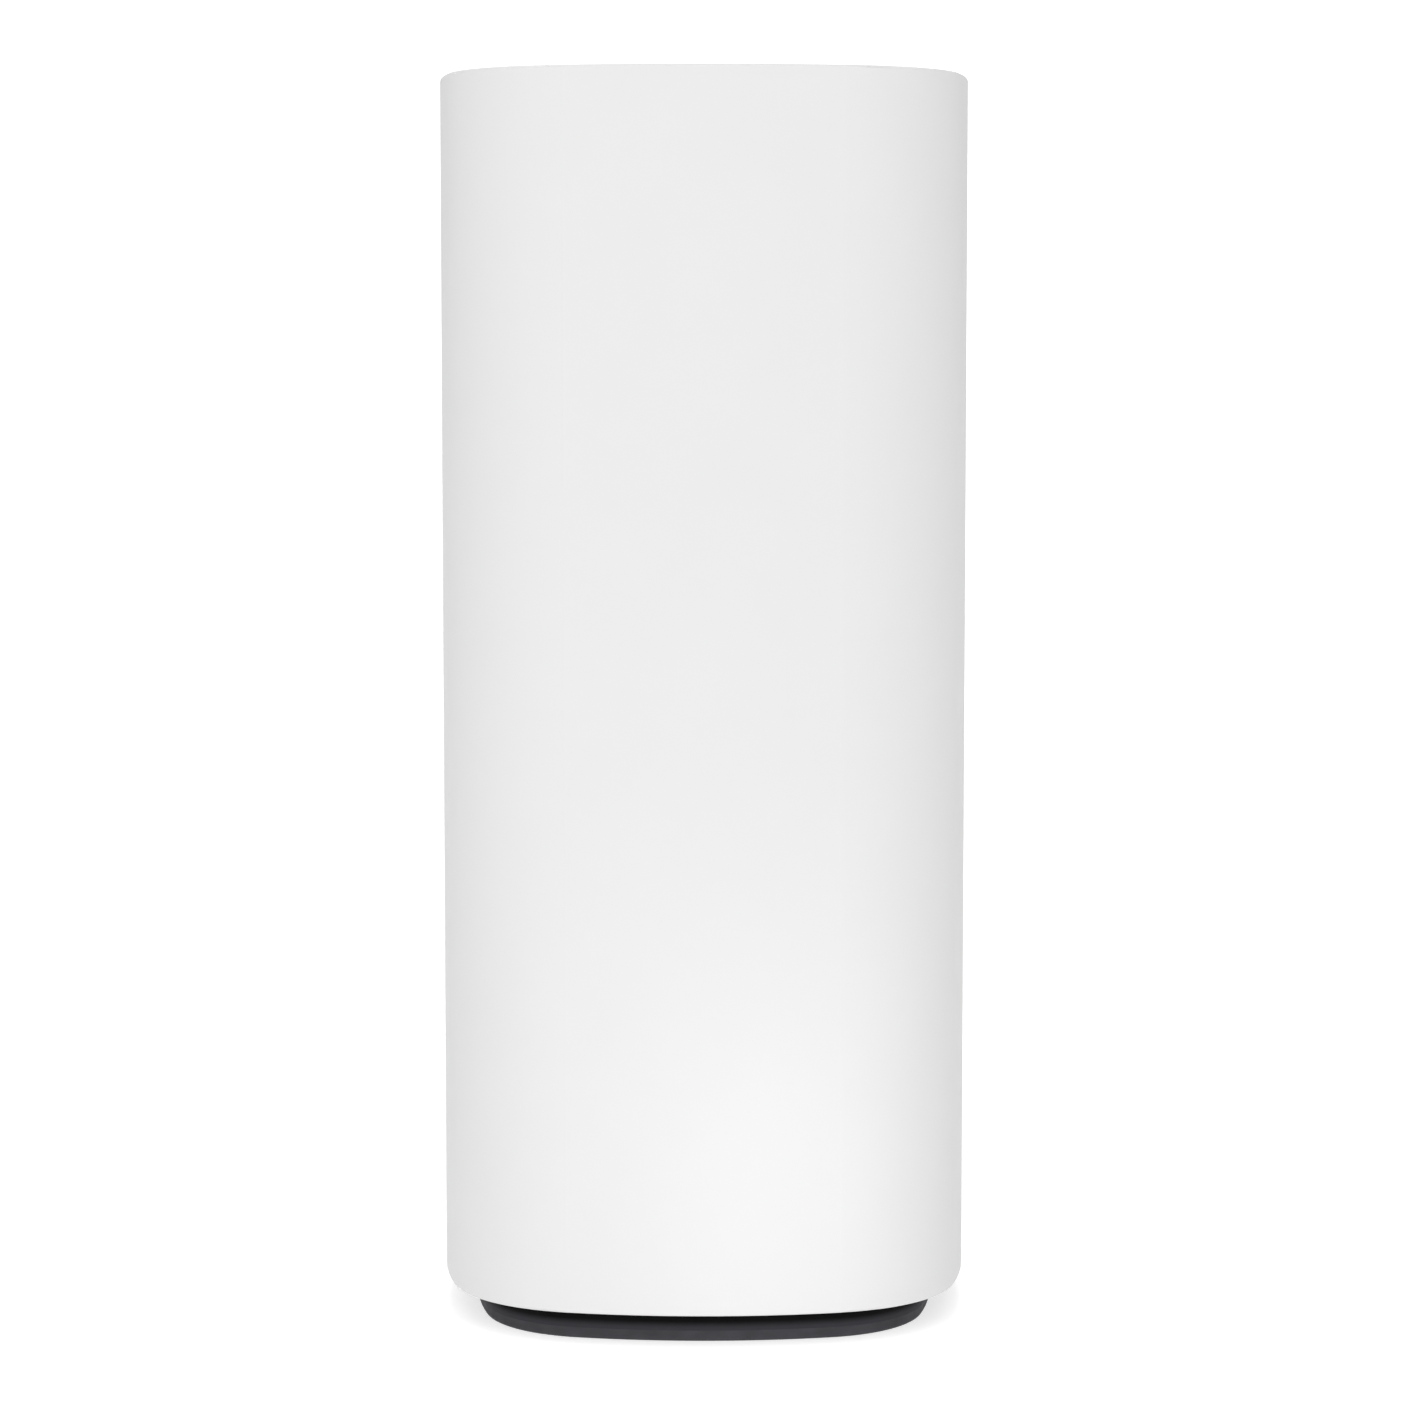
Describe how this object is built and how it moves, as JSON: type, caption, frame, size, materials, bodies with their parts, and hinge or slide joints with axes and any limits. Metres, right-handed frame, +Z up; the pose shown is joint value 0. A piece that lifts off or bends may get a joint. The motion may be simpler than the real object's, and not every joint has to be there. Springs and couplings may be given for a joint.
{
  "type": "wireless router",
  "caption": "Tall white wireless router with a rounded-square plan, a dark base, a slotted top and a recessed panel of sockets at the back.",
  "frame": {"origin": "middle of the footprint, on the surface the router stands on", "axes": "+Z up the tower, -Y the plain front, +Y the back with the sockets"},
  "size_m": [0.095, 0.095, 0.2214],
  "materials": {
    "shell_white": "fine matte moulding",
    "panel_grey": "fine matte moulding",
    "base_grey": "matte moulding",
    "foot_rubber": "matte",
    "label_film": "satin film",
    "light_pipe": "frosted clear",
    "frame_plastic": "plain moulding",
    "board_green": "solder mask",
    "chip_black": "moulded package",
    "can_aluminium": "drawn can",
    "coil_grey": "sintered",
    "contact_gold": "plated",
    "contact_nickel": "plated",
    "led_white": "clear resin",
    "socket_black": "plain moulding",
    "rocker_black": "satin",
    "connector_white": "plain moulding",
    "wire_jacket": "extruded",
    "button_grey": "fine matte moulding",
    "sink_aluminium": "as extruded",
    "pad_grey": "soft silicone",
    "antenna_laminate": "glass laminate",
    "copper": "etched",
    "coax_black": "extruded",
    "screw_steel": "zinc plated",
    "shield_tin": "tinned sheet",
    "wan_housing": "plain moulding",
    "lan_housing": "plain moulding",
    "jack_nickel": "nickel plated"
  },
  "bodies": {
    "router": {"outer_sleeve": "shell_white", "top_cap": "shell_white", "rear_bezel": "panel_grey", "base_tray": "base_grey", "foot_pad": "foot_rubber", "blank_label": "label_film", "status_light_pipe": "light_pipe", "lower_carrier": "frame_plastic", "upper_carrier": "frame_plastic", "main_board": "board_green", "processor": "chip_black", "memory_chips": "chip_black", "radio_chips": "chip_black", "front_end_modules": "chip_black", "ethernet_transformers": "chip_black", "capacitors": "can_aluminium", "inductors": "coil_grey", "coax_sockets": "contact_gold", "status_led": "led_white", "power_inlet": "socket_black", "power_inlet_pin": "contact_nickel", "rocker_housing": "socket_black", "rocker_terminals": "contact_nickel", "switch_connector": "connector_white", "switch_wires": "wire_jacket", "pairing_switch": "socket_black", "reset_switch": "socket_black", "right_heatsink": "sink_aluminium", "left_heatsink": "sink_aluminium", "thermal_pads": "pad_grey", "antenna_boards": "antenna_laminate", "antenna_coppers": "copper", "antenna_leads": "coax_black", "base_screws": "screw_steel", "sleeve_screws": "screw_steel", "board_screws": "screw_steel", "bezel_screws": "screw_steel", "heatsink_screws": "screw_steel", "processor_shield": "shield_tin", "upper_radio_shield": "shield_tin", "lower_radio_shield": "shield_tin", "middle_radio_shield": "shield_tin", "wan_jack": "wan_housing", "wan_jack_shield": "jack_nickel", "wan_jack_contacts": "contact_gold", "lan_jack": "lan_housing", "lan_jack_shield": "jack_nickel", "lan_jack_contacts": "contact_gold", "post_front_left": "frame_plastic", "post_front_right": "frame_plastic", "post_rear_left": "frame_plastic", "post_rear_right": "frame_plastic"},
    "power_switch": {"power_rocker": "rocker_black"},
    "pairing_key": {"pairing_button": "button_grey", "pairing_plunger": "button_grey"},
    "reset_key": {"reset_button": "button_grey", "reset_plunger": "button_grey"}
  },
  "joints": [
    {"name": "power_switch_tilt", "type": "hinge", "parent": "router", "child": "power_switch", "pos_m": [0, 0.038, 0.0195], "axis": [1, 0, 0], "range_deg": [0, 24]},
    {"name": "pairing_press", "type": "slide", "parent": "router", "child": "pairing_key", "axis": [0, -1, 0], "range_m": [0, 0.0006], "stiffness_N_per_m": 1500, "springref_m": -0.0006},
    {"name": "reset_press", "type": "slide", "parent": "router", "child": "reset_key", "axis": [0, 0, 1], "range_m": [0, 0.0006], "stiffness_N_per_m": 1500, "springref_m": -0.0006}
  ]
}
